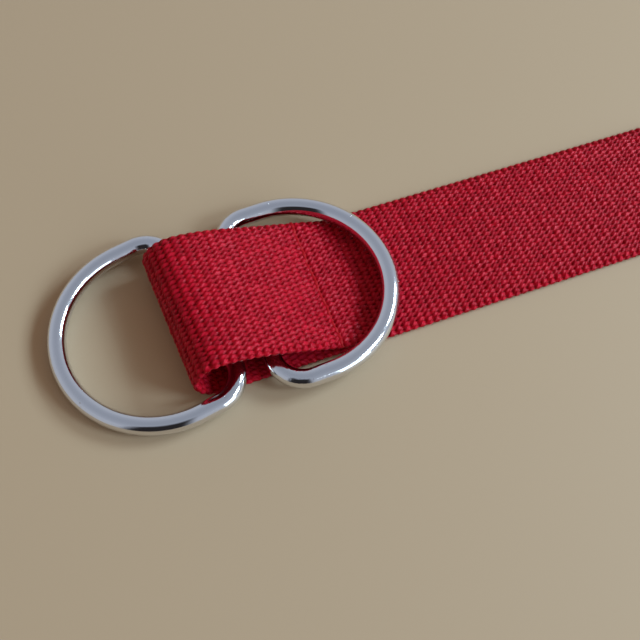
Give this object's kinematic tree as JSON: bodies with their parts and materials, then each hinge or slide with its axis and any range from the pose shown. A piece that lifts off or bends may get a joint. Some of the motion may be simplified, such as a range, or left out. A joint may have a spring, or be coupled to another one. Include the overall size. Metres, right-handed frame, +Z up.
{
  "type": "belt",
  "caption": "Closing end of a woven webbing belt lying flat, folded and sewn round the straight bars of wire D-rings that fasten it.",
  "frame": {"origin": "middle of the strap's width on its underside, below the left ring's bar, on the surface that the belt lies on", "axes": "+X along the strap from the fold to its free end, +Y across the strap, +Z up"},
  "size_m": [0.153, 0.0463, 0.012],
  "materials": {
    "webbing": "red woven polyester webbing in a coarse plain weave, with a soft sheen on each yarn",
    "plated_wire": "bright nickel plated steel wire, polished, with a few small pits"
  },
  "bodies": {
    "strap": {"strap": "webbing"},
    "left_ring": {"left_ring": "plated_wire"},
    "right_ring": {"right_ring": "plated_wire"}
  },
  "joints": [
    {"name": "left_ring_swing", "type": "hinge", "parent": "strap", "child": "left_ring", "pos_m": [0, 0.0023, 0.00375], "axis": [-0.1599, 0.9871, 0], "range_deg": [0, 90]},
    {"name": "right_ring_swing", "type": "hinge", "parent": "strap", "child": "right_ring", "pos_m": [0.0097, 0.0002, 0.00375], "axis": [0.0297, -0.9996, 0], "range_deg": [0, 90]}
  ]
}
